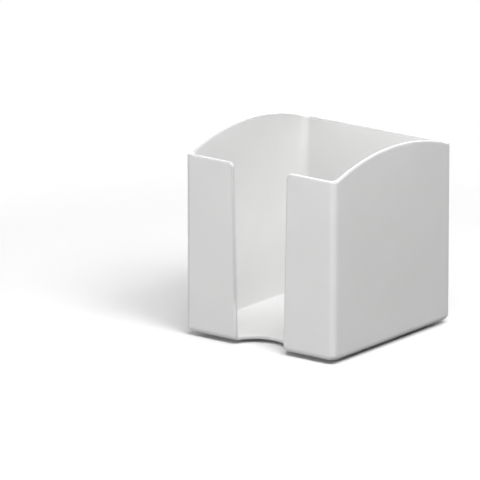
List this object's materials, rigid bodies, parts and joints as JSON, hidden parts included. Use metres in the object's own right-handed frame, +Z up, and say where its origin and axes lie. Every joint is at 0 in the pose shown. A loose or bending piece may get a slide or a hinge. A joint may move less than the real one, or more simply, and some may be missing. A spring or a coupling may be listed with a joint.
{
  "type": "note box",
  "caption": "Open box for loose square note sheets, with arched side walls, a finger slot down the front, a round notch in the floor and soft feet.",
  "frame": {"origin": "on the table, below the middle of the box", "axes": "+Z up, +Y to the back wall, -Y to the wall with the slot, +X to the right seen from the slot's side"},
  "size_m": [0.098, 0.104, 0.1074],
  "materials": {
    "box_plastic": "satin light grey moulding, fine spark-eroded texture",
    "foot_rubber": "matt dark grey"
  },
  "bodies": {
    "root": {"note_box": "box_plastic", "foot_front_left": "foot_rubber", "foot_front_right": "foot_rubber", "foot_back_left": "foot_rubber", "foot_back_right": "foot_rubber"}
  },
  "joints": []
}
